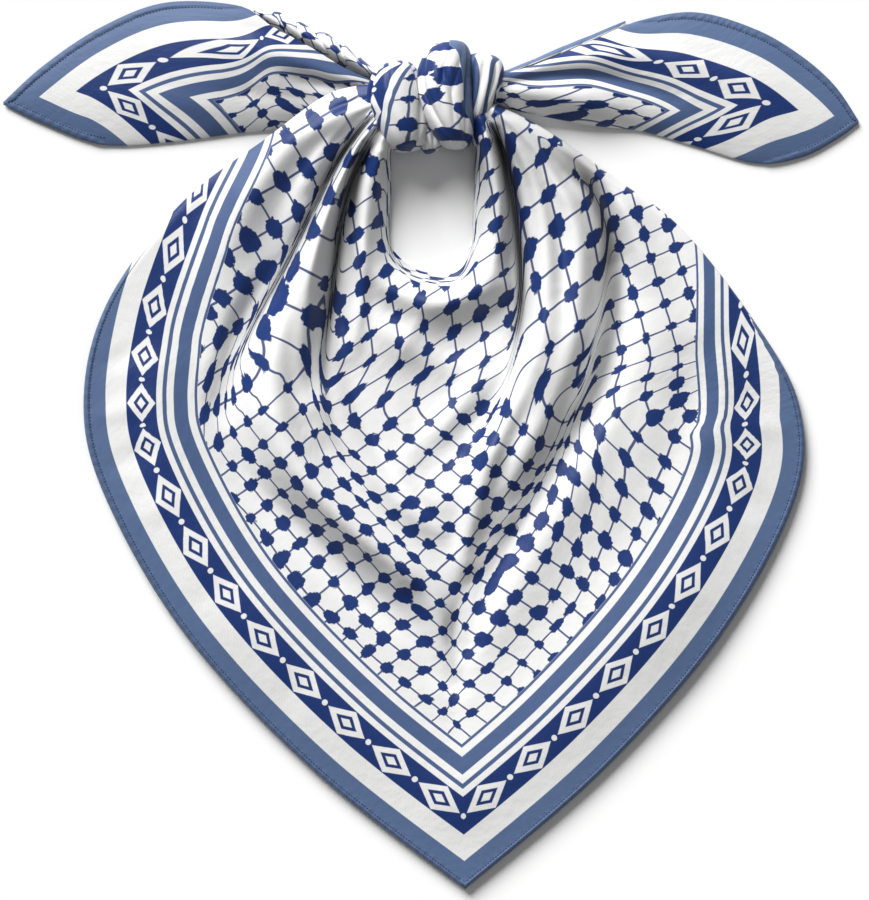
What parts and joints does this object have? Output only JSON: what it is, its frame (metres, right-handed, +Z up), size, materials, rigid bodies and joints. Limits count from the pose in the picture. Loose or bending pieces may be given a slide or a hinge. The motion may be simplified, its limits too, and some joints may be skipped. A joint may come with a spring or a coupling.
{
  "type": "bandana",
  "caption": "Square neck bandana folded corner to corner, its two long corners tied in a knot at the top and spread as tails, laid flat.",
  "frame": {"origin": "on the surface it lies on, at the middle of the whole outline", "axes": "+Z up from the surface, +Y towards the knot, -Y towards the point, +X to the right seen from above"},
  "size_m": [0.453, 0.47, 0.038],
  "materials": {
    "cloth_front": "printed satin twill, white ground with navy net and a bordered edge",
    "cloth_back": "printed satin twill, reverse layer",
    "cloth_tails": "printed satin twill, bordered corner",
    "cloth_knot": "printed satin twill, gathered"
  },
  "bodies": {
    "root": {"back_panel": "cloth_back", "front_panel": "cloth_front", "tail_left": "cloth_tails", "tail_left_roll": "cloth_tails", "tail_right": "cloth_tails", "tail_right_roll": "cloth_tails", "knot_left_wrap": "cloth_knot", "knot_right_wrap": "cloth_knot", "knot_back_strand": "cloth_knot", "knot_under_fold": "cloth_knot", "knot_core": "cloth_knot"}
  },
  "joints": []
}
